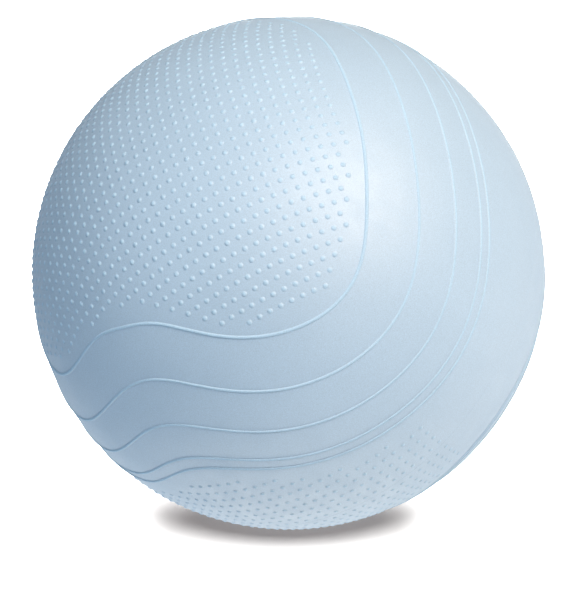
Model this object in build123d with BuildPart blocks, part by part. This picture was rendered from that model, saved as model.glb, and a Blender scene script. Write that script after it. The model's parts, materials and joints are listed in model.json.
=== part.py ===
from build123d import *
from math import cos, radians, sin, sqrt
import os

# Exercise ball of the 65 cm size, inflated and standing on a floor.
# Millimetres, +Z up. The origin is the middle of the flat patch that the ball stands on.
# Three pieces: the one-piece hollow skin, the valve seat bonded into it, and the push-in plug.

# Skin
ball_radius = 325.0
skin_wall = 0.9
floor_patch_radius = 34.0  # a 1.5 kg ball blown up to about 4 kPa flattens this far

# Where the valve is, seen from the middle of the ball
valve_turn = 45.0  # degrees round Z from +X
valve_tilt = -30.0  # degrees above the horizontal

# Valve seat: a collar flush with the skin, a flange bonded under it, and a neck that reaches inside
collar_radius = 12.0
flange_radius = 20.0
flange_thickness = 2.6
neck_radius = 7.0
seat_depth = 18.0
recess_radius = 8.6
recess_depth = 2.4
bore_mouth_radius = 4.2
bore_end_radius = 3.5
pry_notch_radius = 2.2  # lets a valve key under the plug's head

# Valve plug
head_gap = 0.35  # round the head, inside the recess
seat_gap = 0.06  # under the head and round the peg
head_crown = 1.0  # how far the domed head stands proud of the skin
head_edge = 1.6  # height of the head's rim above the recess floor
rib_height = 0.3
rib_width = 1.0
rib_count = 3
peg_overhang = 2.5  # how far the peg's tip passes the end of the neck

# Worked out from the above
ball_centre = (0, 0, sqrt(ball_radius**2 - floor_patch_radius**2))
inner_radius = ball_radius - skin_wall
inner_patch_radius = sqrt(inner_radius**2 - (ball_centre[2] - skin_wall) ** 2)
recess_floor = ball_radius - recess_depth
neck_end = ball_radius - seat_depth
valve_axis = Axis(
    ball_centre,
    (
        cos(radians(valve_tilt)) * cos(radians(valve_turn)),
        cos(radians(valve_tilt)) * sin(radians(valve_turn)),
        sin(radians(valve_tilt)),
    ),
)
# Looks out along the valve from the middle of the ball
valve_plane = Plane(origin=ball_centre, z_dir=valve_axis.direction)
# Half section through the valve: local X runs out from the valve's axis and local Y along it
valve_section = Plane(
    origin=ball_centre,
    x_dir=valve_plane.x_dir,
    z_dir=valve_plane.x_dir.cross(valve_axis.direction),
)


def height_on_sphere(radius, offset):
    """Distance along an axis through the middle of a sphere, at an offset from that axis."""
    return sqrt(radius**2 - offset**2)


def point_on_sphere(radius, offset):
    return (offset, height_on_sphere(radius, offset))


# Ball skin: a thin hollow sphere, flat where it stands, with a round hole for the valve seat
with BuildPart() as ball_skin:
    with BuildSketch(Plane.XZ):
        with BuildLine():
            outer_foot = (floor_patch_radius, 0)
            inner_foot = (inner_patch_radius, skin_wall)
            middle = ball_centre[2]
            Line((0, 0), outer_foot)
            ThreePointArc(outer_foot, (ball_radius, middle), (0, middle + ball_radius))
            Line((0, middle + ball_radius), (0, middle + inner_radius))
            ThreePointArc((0, middle + inner_radius), (inner_radius, middle), inner_foot)
            Line(inner_foot, (0, skin_wall))
            Line((0, skin_wall), (0, 0))
        make_face()
    revolve(axis=Axis.Z)
    with BuildSketch(valve_plane.offset(inner_radius - flange_thickness)):
        Circle(collar_radius)
    extrude(amount=flange_thickness + 2 * skin_wall, mode=Mode.SUBTRACT)
ball_skin.part.label = "ball_skin"

# Valve seat: turned shape with a tapered bore, flush with the outside of the skin
with BuildPart() as valve_seat:
    with BuildSketch(valve_section):
        with BuildLine():
            flange_bottom = height_on_sphere(inner_radius, flange_radius) - flange_thickness
            crown_middle = (recess_radius + collar_radius) / 2
            flange_middle = (collar_radius + flange_radius) / 2
            Polyline(
                point_on_sphere(inner_radius, flange_radius),
                (flange_radius, flange_bottom),
                (neck_radius, flange_bottom),
                (neck_radius, neck_end),
                (bore_end_radius, neck_end),
                (bore_mouth_radius, recess_floor),
                (recess_radius, recess_floor),
                point_on_sphere(ball_radius, recess_radius),
            )
            ThreePointArc(
                point_on_sphere(ball_radius, recess_radius),
                point_on_sphere(ball_radius, crown_middle),
                point_on_sphere(ball_radius, collar_radius),
            )
            Line(
                point_on_sphere(ball_radius, collar_radius),
                point_on_sphere(inner_radius, collar_radius),
            )
            ThreePointArc(
                point_on_sphere(inner_radius, collar_radius),
                point_on_sphere(inner_radius, flange_middle),
                point_on_sphere(inner_radius, flange_radius),
            )
        make_face()
    revolve(axis=valve_axis)
    with BuildSketch(valve_plane.offset(recess_floor)):
        with Locations((recess_radius, 0)):
            Circle(pry_notch_radius)
    extrude(amount=recess_depth, mode=Mode.SUBTRACT)
valve_seat.part.label = "valve_seat"

# Valve plug: a domed head that sits in the recess, and a tapered peg with retaining ribs
with BuildPart() as valve_plug:
    head_radius = recess_radius - head_gap
    head_bottom = recess_floor + seat_gap
    head_rim = recess_floor + head_edge
    head_top = ball_radius + head_crown
    dome_rise = head_top - head_rim
    dome_radius = (head_radius**2 + dome_rise**2) / (2 * dome_rise)
    peg_tip = neck_end - peg_overhang
    peg_mouth_radius = bore_mouth_radius - seat_gap - rib_height
    peg_end_radius = bore_end_radius - seat_gap - rib_height
    tip_centre = peg_tip + peg_end_radius
    with BuildSketch(valve_section):
        with BuildLine():
            Line((0, head_top), (0, peg_tip))
            ThreePointArc(
                (0, peg_tip),
                (peg_end_radius * sin(radians(45)), tip_centre - peg_end_radius * cos(radians(45))),
                (peg_end_radius, tip_centre),
            )
            Polyline(
                (peg_end_radius, tip_centre),
                (peg_mouth_radius, head_bottom),
                (head_radius, head_bottom),
                (head_radius, head_rim),
            )
            RadiusArc((head_radius, head_rim), (0, head_top), -dome_radius)
        make_face()
    revolve(axis=valve_axis)
    for rib in range(1, rib_count + 1):
        share = rib / (rib_count + 1)
        rib_centre = head_bottom + share * (neck_end - head_bottom)
        rib_bottom = rib_centre - rib_width / 2
        rib_radius = peg_mouth_radius + share * (peg_end_radius - peg_mouth_radius)
        with BuildSketch(valve_plane.offset(rib_bottom)):
            Circle(rib_radius + rib_height / 2)
        extrude(amount=rib_width)
valve_plug.part.label = "valve_plug"

os.makedirs("parts", exist_ok=True)
export_step(ball_skin.part, "parts/ball_skin.step")
export_step(valve_seat.part, "parts/valve_seat.step")
export_step(valve_plug.part, "parts/valve_plug.step")
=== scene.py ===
"""Exercise ball of the 65 cm size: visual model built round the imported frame.

Lengths are in metres and angles in degrees, unless a comment says otherwise.
"""

import json
import math
from functools import partial

import bpy
import numpy as np
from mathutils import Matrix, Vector, geometry, kdtree


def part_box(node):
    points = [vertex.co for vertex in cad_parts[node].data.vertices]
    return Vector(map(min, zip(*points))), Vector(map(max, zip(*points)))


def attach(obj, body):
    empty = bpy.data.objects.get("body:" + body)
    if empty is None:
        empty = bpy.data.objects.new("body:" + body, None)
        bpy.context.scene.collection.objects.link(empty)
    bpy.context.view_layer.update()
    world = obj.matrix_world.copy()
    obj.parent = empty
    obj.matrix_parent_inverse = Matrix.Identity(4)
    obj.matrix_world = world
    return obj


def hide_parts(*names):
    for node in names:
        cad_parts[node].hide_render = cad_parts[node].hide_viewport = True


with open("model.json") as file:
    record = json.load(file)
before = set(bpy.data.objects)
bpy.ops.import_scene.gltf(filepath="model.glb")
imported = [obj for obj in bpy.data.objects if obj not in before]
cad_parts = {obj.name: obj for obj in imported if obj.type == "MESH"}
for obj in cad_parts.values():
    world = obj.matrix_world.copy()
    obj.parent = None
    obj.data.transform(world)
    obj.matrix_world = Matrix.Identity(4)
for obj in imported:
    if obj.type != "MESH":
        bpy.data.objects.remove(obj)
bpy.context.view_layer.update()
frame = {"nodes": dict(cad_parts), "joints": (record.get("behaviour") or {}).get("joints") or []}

# ---------------------------------------------------------------- the ball, read from the frame
skin_low, skin_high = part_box("ball_skin")
RADIUS = (skin_high.x - skin_low.x) / 2
CENTRE = np.array([0.0, 0.0, skin_high.z - RADIUS])
SKIN_WALL = 0.0009  # this and the collar are the CAD's own values
COLLAR_RADIUS = 0.012

# The raised pattern is laid out round one axis, which leaves the ball opposite the valve.
VALVE_AXIS = np.array(frame["joints"][0]["axis"], float)
VALVE_AXIS /= np.linalg.norm(VALVE_AXIS)
POLE = -VALVE_AXIS
UPHILL = np.array([0.0, 0.0, 1.0]) - POLE[2] * POLE
UPHILL /= np.linalg.norm(UPHILL)
SIDEWAYS = np.cross(UPHILL, POLE)

# ---------------------------------------------------------------- sizes of the raised pattern
# Five nested wavy ridges. Each one's angle from the pole is a mean plus swells round the pole.
# A swell: (rise, place, spread) on the innermost ridge, then on the outermost.
RIDGE_MEANS = (54.3, 64.2, 72.1, 78.3, 80.5)
RIDGE_SHARES = tuple(
    (mean - RIDGE_MEANS[0]) / (RIDGE_MEANS[-1] - RIDGE_MEANS[0]) for mean in RIDGE_MEANS
)
RIDGE_SWELLS = (
    ((-16.4, -57.5, 16.0), (-16.4, -79.0, 18.5)),
    ((-15.0, -86.5, 15.0), (7.5, -88.5, 11.5)),
    ((4.0, -10.5, 12.5), (7.5, -10.0, 21.5)),
    ((-3.0, 44.0, 19.0), (-1.0, 43.0, 16.0)),
    ((-16.0, 165.0, 22.0), (-12.0, 165.0, 18.0)),
)
RIDGE_WIDTHS = (0.0046, 0.0042, 0.0042, 0.0042, 0.0042)
RIDGE_RISE = 0.29  # height as a share of the width
RIDGE_PROFILE = (  # (place across, height), as shares of half the width and of the height
    (-1.0, 0.0),
    (-0.8, 0.55),
    (-0.4, 0.9),
    (0.0, 1.0),
    (0.4, 0.9),
    (0.8, 0.55),
    (1.0, 0.0),
)
RIDGE_STEP = 0.006  # between points along a ridge
CURVE_SAMPLES = 2001  # round a ridge, to measure its length
BACK_SCALE = 0.72  # the ridges round the valve are the same curves, drawn smaller
BACK_TURN = 14.0  # and turned

PARTING_ANGLE = 101.2  # the mould's parting line is a circle a little out of square to the pole
PARTING_LEAN = 3.4
PARTING_LEAN_TURN = 60.0
PARTING_WIDTH = 0.0016
PARTING_HEIGHT = 0.00024

# Domed grip dots, on a square grid inside the innermost ridge of each patch
DOT_RADIUS = 0.0037
DOT_HEIGHT = 0.0012
DOT_PITCH = 2.468  # between dots
DOT_TURN = 44.34  # of the grid, round the middle of its patch
DOT_SHIFTS = ((0.10, 0.22), (0.5, 0.5))  # front and back, as shares of the pitch
DOT_MARGIN = 3.4  # from the ridge to the nearest dots
DOT_RINGS = (  # (points, radius, height), the last two as shares of the dot's own
    (9, 1.0, 0.0),
    (8, 0.8, 0.45),
    (5, 0.42, 0.86),
    (1, 0.0, 1.0),
)
DOT_START = POLE + 0.3 * UPHILL  # the rings start square to this: no dot lies at it
GRID_CELLS = 50  # each way from the middle of a patch
GRID_REACH = 100.0  # cells further from the middle are dropped before the grid is wrapped
VALVE_CLEAR = 7.0  # smooth skin round the valve

# Two dotted fields on the band between the patches, in columns across the parting line
BAND_COLUMN = 2.53  # between columns
BAND_DRIFT = -0.095  # how far a column drifts round the pole, as a share of its length
BAND_ROW = 2.85  # between rows
BAND_ROWS = 20  # on each side, before the margins cut them
BAND_FIRST_ROW = 1.95  # from the parting line to the nearest row on each side
BAND_MARGINS = (4.3, 3.4)  # smooth skin beside the front ridges and beside the back ones
BAND_DOT_SIZE = 0.92  # as a share of the patches' dots
BAND_DOT_LIFT = 0.88
BAND_FIELDS = ((-109.1, -29.1), (116.9, 196.9))

# Smooth skin, and the wall inside
FILL_SPACING = 0.012
FILL_CLEAR = 0.6  # from a ridge's or dot's points, as a share of the spacing
COLLAR_CLEAR = 1.3  # from the valve's axis, as a share of the collar's radius
RIM_COUNT = 48  # points round the valve's hole
INNER_ROWS = 40
CHART_MERGE = 1e-9  # points of the flat chart nearer than this would be merged


# ---------------------------------------------------------------- directions from the centre
def ridge_angle(azimuth, share):
    """Angle from the pole of the ridge that lies this share of the way outwards.

    Azimuths are in radians here and in every function below.
    """
    total = RIDGE_MEANS[0] + (RIDGE_MEANS[-1] - RIDGE_MEANS[0]) * share
    for inner, outer in RIDGE_SWELLS:
        rise, place, spread = (a + (b - a) * share for a, b in zip(inner, outer))
        gap = np.cos(azimuth - math.radians(place)) - 1
        total = total + rise * np.exp(gap / math.radians(spread) ** 2)
    return total


def back_angle(azimuth, share):
    """The same for the patch round the valve, as an angle from the valve."""
    return BACK_SCALE * ridge_angle(azimuth + math.radians(BACK_TURN), share)


def parting_angle(azimuth):
    """Angle from the pole of the parting line."""
    lean = PARTING_LEAN * np.cos(azimuth - math.radians(PARTING_LEAN_TURN))
    return PARTING_ANGLE + lean


def outward(azimuth, polar):
    """Unit vectors from the middle of the ball, for radians round the pole and from it."""
    azimuth, polar = np.broadcast_arrays(azimuth, polar)
    ring = np.cos(azimuth)[..., None] * SIDEWAYS + np.sin(azimuth)[..., None] * UPHILL
    return np.cos(polar)[..., None] * POLE + np.sin(polar)[..., None] * ring


def front_ridge(azimuth, share):
    return outward(azimuth, np.radians(ridge_angle(azimuth, share)))


def back_ridge(azimuth, share):
    return outward(azimuth, math.pi - np.radians(back_angle(azimuth, share)))


def parting_line(azimuth):
    return outward(azimuth, np.radians(parting_angle(azimuth)))


def unit(vectors):
    return vectors / np.linalg.norm(vectors, axis=-1, keepdims=True)


# ---------------------------------------------------------------- points of the outside
points = []  # unit vectors
heights = []  # above the smooth skin


def add(directions, height):
    points.append(directions.reshape(-1, 3))
    heights.append(np.broadcast_to(height, directions.shape[:-1]).reshape(-1))


def add_ridge(curve, width, height):
    """A rounded ridge along a closed curve, given as a function from azimuth to unit vectors."""
    fine = curve(np.linspace(0, 2 * math.pi, CURVE_SAMPLES))
    steps = np.linalg.norm(np.diff(fine, axis=0), axis=1)
    along = np.concatenate([[0], np.cumsum(steps)])
    count = int(along[-1] * RADIUS / RIDGE_STEP)
    wanted = np.arange(count) / count * along[-1]
    middle = unit(
        np.stack([np.interp(wanted, along, fine[:, k]) for k in range(3)], axis=1)
    )
    tangent = unit(np.roll(middle, -1, axis=0) - np.roll(middle, 1, axis=0))
    across = np.cross(middle, tangent)
    for offset, rise in RIDGE_PROFILE:
        turn = offset * width / 2 / RADIUS
        add(math.cos(turn) * middle + math.sin(turn) * across, rise * height)


def add_dots(centres, size=1.0, lift=1.0):
    """A low round dome at each unit vector. Size and lift scale its radius and height."""
    sideways = unit(np.cross(centres, DOT_START))
    uphill = np.cross(centres, sideways)
    for count, reach, rise in DOT_RINGS:
        angle = math.asin(size * reach * DOT_RADIUS / RADIUS)
        for k in range(count):
            spin = 2 * math.pi * (k + reach) / count
            lean = math.cos(spin) * sideways + math.sin(spin) * uphill
            add(math.cos(angle) * centres + math.sin(angle) * lean, lift * rise * DOT_HEIGHT)


def square_grid(shift, edge):
    """Even square grid wrapped round the pole, kept inside the innermost ridge.

    The ridge is given by its angle function. Returns azimuths, and polar angles in degrees.
    """
    span = np.arange(-GRID_CELLS, GRID_CELLS + 1)
    i, j = np.meshgrid(span + shift[0], span + shift[1])
    turn = math.radians(DOT_TURN)
    x = (i * math.cos(turn) - j * math.sin(turn)) * DOT_PITCH
    y = (i * math.sin(turn) + j * math.cos(turn)) * DOT_PITCH
    reach = np.hypot(x, y)
    near = reach < GRID_REACH
    azimuth = np.arctan2(y[near], x[near])
    polar = np.degrees(2 * np.arcsin(np.radians(reach[near]) / 2))
    keep = polar < edge(azimuth, 0) - DOT_MARGIN
    return azimuth[keep], polar[keep]


# patches of ridges and dots, round the pole and round the valve
for ridge in (front_ridge, back_ridge):
    for share, width in zip(RIDGE_SHARES, RIDGE_WIDTHS):
        add_ridge(partial(ridge, share=share), width, RIDGE_RISE * width)
azimuth, polar = square_grid(DOT_SHIFTS[0], ridge_angle)
front_dots = outward(azimuth, np.radians(polar))
azimuth, polar = square_grid(DOT_SHIFTS[1], back_angle)
clear = polar > VALVE_CLEAR
back_dots = outward(azimuth[clear], math.pi - np.radians(polar[clear]))
add_dots(np.concatenate([front_dots, back_dots]))

# band between the patches: the mould's parting line, and two dotted fields in columns
add_ridge(parting_line, PARTING_WIDTH, PARTING_HEIGHT)
one_side = BAND_FIRST_ROW + np.arange(BAND_ROWS) * BAND_ROW
rows = np.concatenate([-one_side[::-1], one_side])
band_dots = []
for first, last in BAND_FIELDS:
    column, row = np.meshgrid(np.arange(last, first, -BAND_COLUMN), rows)
    azimuth = np.radians(column + BAND_DRIFT * row)
    polar = parting_angle(azimuth) + row
    keep = (polar > ridge_angle(azimuth, 1.0) + BAND_MARGINS[0]) & (
        180 - polar > back_angle(azimuth, 1.0) + BAND_MARGINS[1]
    )
    band_dots.append(outward(azimuth[keep], np.radians(polar[keep])))
add_dots(np.concatenate(band_dots), BAND_DOT_SIZE, BAND_DOT_LIFT)

# rim of the valve's hole
rim_turn = np.arange(RIM_COUNT) * 2 * math.pi / RIM_COUNT
add(outward(rim_turn, math.pi - math.asin(COLLAR_RADIUS / RADIUS)), 0.0)

# smooth skin: points spread evenly by the golden angle, as many as a triangular grid would have,
# and kept clear of everything above
features = np.concatenate(points)
rim_start = len(features) - RIM_COUNT
tree = kdtree.KDTree(len(features))
for index, place in enumerate(features):
    tree.insert(Vector(place), index)
tree.balance()
count = int(4 * math.pi * (RADIUS / FILL_SPACING) ** 2 * 2 / math.sqrt(3))
order = np.arange(count) + 0.5
level = 1 - 2 * order / count
swing = order * math.pi * (3 - math.sqrt(5))
flat = np.sqrt(1 - level**2)
spread = np.stack([flat * np.cos(swing), flat * np.sin(swing), level], axis=1)
spread = np.array(
    [
        d
        for d in spread
        if tree.find(Vector(d))[2] * RADIUS > FILL_CLEAR * FILL_SPACING
        and d @ VALVE_AXIS < math.cos(COLLAR_CLEAR * COLLAR_RADIUS / RADIUS)
    ]
)
add(spread, 0.0)
directions = np.concatenate(points)
height = np.concatenate(heights)

# ---------------------------------------------------------------- mesh of the skin
# one flat chart of the whole outside: seen from the pole, the valve's rim is its outer edge
chart = np.stack([directions @ SIDEWAYS, directions @ UPHILL], axis=1)
chart /= (1 + directions @ POLE)[:, None]
made = geometry.delaunay_2d_cdt([Vector(c) for c in chart], [], [], 0, CHART_MERGE, True)
source = np.array([ids[0] for ids in made[3]])
outer_faces = source[np.array(made[2])]

outer = CENTRE + directions * (RADIUS + height)[:, None]
grounded = outer[:, 2] < 0
outer[:, 2] = np.maximum(outer[:, 2], 0.0)

# inside surface, coarser: rings of points from the hole to the pole, by angle in radians
inner_radius = RADIUS - SKIN_WALL
inner_edge = math.pi - math.asin(COLLAR_RADIUS / inner_radius)
inner_angles = np.linspace(inner_edge, 0, INNER_ROWS + 1)
inner = CENTRE + inner_radius * np.concatenate(
    [outward(rim_turn, a) for a in inner_angles[:-1]] + [POLE[None]]
)
inner[:, 2] = np.maximum(inner[:, 2], SKIN_WALL)


def ring_faces(first, second):
    """Triangles between two rings of points, given the index that each ring starts at."""
    triangles = []
    for k in range(RIM_COUNT):
        k2 = (k + 1) % RIM_COUNT
        a, b, c, d = first + k, first + k2, second + k, second + k2
        triangles += [(a, c, b), (b, c, d)]
    return triangles


first_inner = len(outer)
inner_tip = first_inner + len(inner) - 1
last_ring = inner_tip - RIM_COUNT
inner_faces = []
for start in range(first_inner, last_ring, RIM_COUNT):
    inner_faces += ring_faces(start, start + RIM_COUNT)
for k in range(RIM_COUNT):
    inner_faces.append((last_ring + k, inner_tip, last_ring + (k + 1) % RIM_COUNT))
wall_faces = ring_faces(rim_start, first_inner)

faces = np.concatenate([outer_faces, np.array(inner_faces), np.array(wall_faces)])
vertices = np.concatenate([outer, inner])
print("skin:", len(vertices), "vertices,", len(faces), "triangles")

mesh = bpy.data.meshes.new("ball_skin_moulded")
mesh.from_pydata(vertices.tolist(), [], faces.tolist())
mesh.validate()
mesh.shade_smooth()
mesh.update()
skin = bpy.data.objects.new("ball_skin_moulded", mesh)
bpy.context.scene.collection.objects.link(skin)

# exact normals on the smooth parts, so the skin between the dots shades as a true sphere
vertex_normals = np.zeros((len(vertices), 3), np.float32)
mesh.vertices.foreach_get("normal", vertex_normals.ravel())
smooth = np.flatnonzero((height == 0) & ~grounded)
vertex_normals[smooth] = directions[smooth]
corner_vertex = np.zeros(len(mesh.loops), np.int32)
mesh.loops.foreach_get("vertex_index", corner_vertex)
corner_normals = vertex_normals[corner_vertex]
plain = np.zeros((len(mesh.loops), 3), np.float32)
mesh.corner_normals.foreach_get("vector", plain.ravel())
outer_corners = len(outer_faces) * 3
corner_normals[outer_corners:] = plain[outer_corners:]
mesh.normals_split_custom_set(corner_normals.tolist())

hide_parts("ball_skin")
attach(skin, "ball")

# ---------------------------------------------------------------- materials
# The raised pattern's paler colour is partly its own tone and partly painted light, standing in
# for the light its beads catch.
RAISED_FROM = 0.0004  # height at which the raised pattern starts to look paler
RAISED_FULL = 0.0011  # height at which it is fully paler


def principled(name):
    material = bpy.data.materials.new(name)
    material.use_nodes = True
    nodes = material.node_tree.nodes
    return material, nodes, material.node_tree.links, nodes["Principled BSDF"]


def noise(nodes, links, scale, detail):
    where = nodes.new("ShaderNodeTexCoord")
    texture = nodes.new("ShaderNodeTexNoise")
    texture.inputs["Scale"].default_value = scale
    texture.inputs["Detail"].default_value = detail
    links.new(where.outputs["Object"], texture.inputs["Vector"])
    return texture.outputs["Fac"]


def ramp(nodes, links, value, stops):
    """Colour that follows a value. A stop is (value, colour)."""
    node = nodes.new("ShaderNodeValToRGB")
    while len(node.color_ramp.elements) < len(stops):
        node.color_ramp.elements.new(0.5)
    for element, (place, colour) in zip(node.color_ramp.elements, stops):
        element.position = place
        element.color = (*colour, 1.0)
    links.new(value, node.inputs["Fac"])
    return node.outputs["Color"]


def spread_between(nodes, links, value, low, high, start=0.3, end=0.7):
    """Number from low to high, while the value goes from start to end."""
    node = nodes.new("ShaderNodeMapRange")
    node.inputs["From Min"].default_value = start
    node.inputs["From Max"].default_value = end
    node.inputs["To Min"].default_value = low
    node.inputs["To Max"].default_value = high
    links.new(value, node.inputs["Value"])
    return node.outputs["Result"]


def bump(nodes, links, layers):
    """Normal roughened by layers, each (value, strength, depth)."""
    last = None
    for value, strength, depth in layers:
        node = nodes.new("ShaderNodeBump")
        node.inputs["Strength"].default_value = strength
        node.inputs["Distance"].default_value = depth
        links.new(value, node.inputs["Height"])
        if last is not None:
            links.new(last, node.inputs["Normal"])
        last = node.outputs["Normal"]
    return last


def times(nodes, links, first, second):
    node = nodes.new("ShaderNodeVectorMath")
    node.operation = "MULTIPLY"
    links.new(first, node.inputs[0])
    links.new(second, node.inputs[1])
    return node.outputs["Vector"]


def skin_material():
    material, nodes, links, shader = principled("blue_pvc")

    # colour: soft clouds and a fine speckle
    clouds = noise(nodes, links, scale=7.0, detail=3.0)
    base = ramp(
        nodes, links, clouds, ((0.3, (0.390, 0.560, 0.745)), (0.7, (0.410, 0.585, 0.775)))
    )
    speckle = ramp(
        nodes,
        links,
        noise(nodes, links, scale=900.0, detail=1.0),
        ((0.25, (0.90, 0.90, 0.90)), (0.75, (1.10, 1.10, 1.10))),
    )
    mottled = times(nodes, links, base, speckle)

    # the raised pattern is painted slightly paler, partly a tone of its own and partly painted
    # light standing in for the light its rounded beads catch, and it is less shiny: found by its
    # distance from the middle
    where = nodes.new("ShaderNodeTexCoord")
    reach = nodes.new("ShaderNodeVectorMath")
    reach.operation = "DISTANCE"
    reach.inputs[1].default_value = tuple(CENTRE)
    links.new(where.outputs["Object"], reach.inputs[0])
    raised = spread_between(
        nodes,
        links,
        reach.outputs["Value"],
        low=0.0,
        high=1.0,
        start=RADIUS + RAISED_FROM,
        end=RADIUS + RAISED_FULL,
    )
    # paler tint on the raised pattern: partly its own tone, partly painted light for the light
    # the beads catch
    raised_tone_and_painted_light = ramp(
        nodes, links, raised, ((0.0, (0.95, 0.96, 0.97)), (1.0, (1.03, 1.085, 1.095)))
    )
    links.new(times(nodes, links, mottled, raised_tone_and_painted_light), shader.inputs["Base Color"])

    # gloss
    haze = noise(nodes, links, scale=45.0, detail=4.0)
    matt = nodes.new("ShaderNodeMath")
    matt.operation = "ADD"
    links.new(spread_between(nodes, links, haze, 0.48, 0.57), matt.inputs[0])
    links.new(spread_between(nodes, links, raised, 0.0, 0.2, 0.0, 1.0), matt.inputs[1])
    links.new(matt.outputs["Value"], shader.inputs["Roughness"])
    links.new(
        spread_between(nodes, links, raised, 0.9, 0.3, 0.0, 1.0),
        shader.inputs["Specular IOR Level"],
    )

    # fine grain over a wider ripple
    grain = noise(nodes, links, scale=800.0, detail=2.0)
    ripple = noise(nodes, links, scale=160.0, detail=2.0)
    normal = bump(nodes, links, ((grain, 0.6, 0.0002), (ripple, 0.2, 0.0003)))
    links.new(normal, shader.inputs["Normal"])
    return material


def plain_material(name, low, high, rough_low, rough_high):
    """Moulded plastic, with its colour and roughness clouded between two values each."""
    material, nodes, links, shader = principled(name)
    clouds = noise(nodes, links, scale=60.0, detail=3.0)
    colour = ramp(nodes, links, clouds, ((0.3, low), (0.7, high)))
    links.new(colour, shader.inputs["Base Color"])
    haze = noise(nodes, links, scale=220.0, detail=3.0)
    roughness = spread_between(nodes, links, haze, rough_low, rough_high)
    links.new(roughness, shader.inputs["Roughness"])
    grain = noise(nodes, links, scale=1500.0, detail=2.0)
    links.new(bump(nodes, links, ((grain, 0.2, 0.0001),)), shader.inputs["Normal"])
    return material


def give(obj, material):
    obj.data.materials.clear()
    obj.data.materials.append(material)


seat = frame["nodes"]["valve_seat"]
plug = frame["nodes"]["valve_plug"]
give(skin, skin_material())
give(seat, plain_material("seat_pvc", (0.40, 0.53, 0.67), (0.45, 0.58, 0.71), 0.42, 0.52))
give(plug, plain_material("plug_plastic", (0.74, 0.75, 0.74), (0.80, 0.81, 0.80), 0.38, 0.48))

# ---------------------------------------------------------------- floor
FLOOR_SIZE = 400.0  # wide enough that its edge is never seen
bpy.ops.mesh.primitive_plane_add(size=FLOOR_SIZE, location=(0.0, 0.0, 0.0))
floor = bpy.context.object
floor.name = "floor"
floor_material, _, _, floor_shader = principled("floor_paper")
floor_shader.inputs["Base Color"].default_value = (0.33, 0.33, 0.33, 1.0)
floor_shader.inputs["Roughness"].default_value = 1.0
floor_shader.inputs["Specular IOR Level"].default_value = 0.0
give(floor, floor_material)
floor.visible_diffuse = False
floor.visible_glossy = False

# ---------------------------------------------------------------- surroundings
world = bpy.data.worlds.new("studio")
bpy.context.scene.world = world
world.use_nodes = True
sky_nodes, sky_links = world.node_tree.nodes, world.node_tree.links
ray = sky_nodes.new("ShaderNodeLightPath")
facing = sky_nodes.new("ShaderNodeTexCoord")


def glow(direction, start, end, low, high):
    """Brightness that grows smoothly from low to high towards one direction.

    Start and end are cosines of the angle to that direction.
    """
    toward = sky_nodes.new("ShaderNodeVectorMath")
    toward.operation = "DOT_PRODUCT"
    toward.inputs[1].default_value = Vector(direction).normalized()
    sky_links.new(facing.outputs["Generated"], toward.inputs[0])
    swell = sky_nodes.new("ShaderNodeMapRange")
    swell.interpolation_type = "SMOOTHSTEP"
    swell.inputs["From Min"].default_value = start
    swell.inputs["From Max"].default_value = end
    swell.inputs["To Min"].default_value = low
    swell.inputs["To Max"].default_value = high
    sky_links.new(toward.outputs["Value"], swell.inputs["Value"])
    return swell.outputs["Result"]


# what lights the ball softly from below; what its skin mirrors; and a white backdrop
# (reflected rays see the mirrored glow, and rays from the camera see white)
below = sky_nodes["Background"]
below.inputs["Color"].default_value = (0.45, 0.68, 1.0, 1.0)
sky_links.new(glow((0.0, 0.0, -1.0), -0.3, 1.0, 0.01, 0.25), below.inputs["Strength"])
mirrored = sky_nodes.new("ShaderNodeMath")
mirrored.operation = "MULTIPLY_ADD"
sky_links.new(glow((0.35, 0.45, -0.8), -0.5, 0.7, 0.0, 1.2), mirrored.inputs[0])
sky_links.new(ray.outputs["Is Glossy Ray"], mirrored.inputs[1])
sky_links.new(ray.outputs["Is Camera Ray"], mirrored.inputs[2])
around = sky_nodes.new("ShaderNodeBackground")
around.inputs["Color"].default_value = (1.0, 1.0, 1.0, 1.0)
sky_links.new(mirrored.outputs["Value"], around.inputs["Strength"])
both = sky_nodes.new("ShaderNodeAddShader")
sky_links.new(below.outputs["Background"], both.inputs[0])
sky_links.new(around.outputs["Background"], both.inputs[1])
sky_links.new(both.outputs["Shader"], sky_nodes["World Output"].inputs["Surface"])


# ---------------------------------------------------------------- lights
def lit_group(name, members):
    group = bpy.data.collections.new(name)
    for member in members:
        group.objects.link(member)
    return group


on_ball = lit_group("lit_ball", [skin, seat, plug])
on_floor = lit_group("lit_floor", [floor])


def soft_sun(name, direction, strength, spread, colour, receivers, blockers=on_ball):
    """A broad soft light from one direction that reaches only its own receivers."""
    light = bpy.data.lights.new(name, "SUN")
    light.energy = strength
    light.angle = math.radians(spread)
    light.color = colour
    lamp = bpy.data.objects.new(name, light)
    bpy.context.scene.collection.objects.link(lamp)
    lamp.rotation_mode = "QUATERNION"
    lamp.rotation_quaternion = Vector(direction).to_track_quat("Z", "Y")
    lamp.light_linking.receiver_collection = receivers
    lamp.light_linking.blocker_collection = blockers


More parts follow.
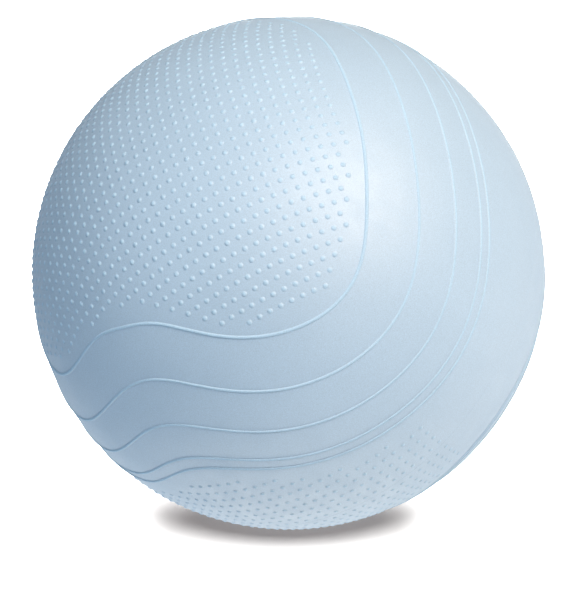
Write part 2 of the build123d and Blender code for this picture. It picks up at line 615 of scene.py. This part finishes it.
soft_sun("key", (0.39, -0.63, 0.67), 5.0, 50.0, (1.0, 0.835, 0.70), on_ball)
soft_sun("fill", (-0.85, -0.5, 0.25), 0.95, 60.0, (0.74, 0.90, 1.0), on_ball)
soft_sun("bounce", (0.05, 0.12, -1.0), 1.95, 70.0, (1.0, 0.90, 0.74), on_ball)
soft_sun("rim", (0.85, 0.2, -0.45), 0.75, 60.0, (1.0, 0.85, 0.70), on_ball)
soft_sun("behind", (0.0, 0.98, -0.1), 3.2, 30.0, (1.0, 0.97, 0.94), on_ball)
soft_sun("overhead", (0.03, 0.0, 1.0), 24.0, 80.0, (1.0, 1.0, 1.0), on_floor)
soft_sun("front", (0.03, -0.7, 0.7), 30.0, 36.0, (1.0, 1.0, 1.0), on_floor)
soft_sun("back", (0.03, 0.7, 0.7), 28.0, 50.0, (1.0, 1.0, 1.0), on_floor)
# even and warm, with nothing to block it, so the shadow isn't black
soft_sun("room", (0.0, 0.0, 1.0), 1.7, 170.0, (1.0, 0.72, 0.55), on_floor, on_floor)

# ---------------------------------------------------------------- camera
CAMERA_ELEVATION = 10.0
CAMERA_DISTANCE = 6.5 * RADIUS
CAMERA_LENS = 98.76  # this and the sensor's width are in millimetres
CAMERA_SENSOR = 36.0
CAMERA_AIM = (0.0037, -0.0341)  # right of and above the middle of the ball
right = Vector((1.0, 0.0, 0.0))
tilt = math.radians(CAMERA_ELEVATION)
back = Vector((0.0, -math.cos(tilt), math.sin(tilt)))
up = back.cross(right)
camera_data = bpy.data.cameras.new("camera")
camera_data.lens = CAMERA_LENS
camera_data.sensor_width = CAMERA_SENSOR
camera = bpy.data.objects.new("camera", camera_data)
bpy.context.scene.collection.objects.link(camera)
camera.location = Vector(CENTRE) + back * CAMERA_DISTANCE
aim = Vector(CENTRE) + CAMERA_AIM[0] * right + CAMERA_AIM[1] * up
camera.rotation_mode = "QUATERNION"
camera.rotation_quaternion = (camera.location - aim).to_track_quat("Z", "Y")
bpy.context.scene.camera = camera
bpy.context.scene.view_settings.view_transform = "Standard"
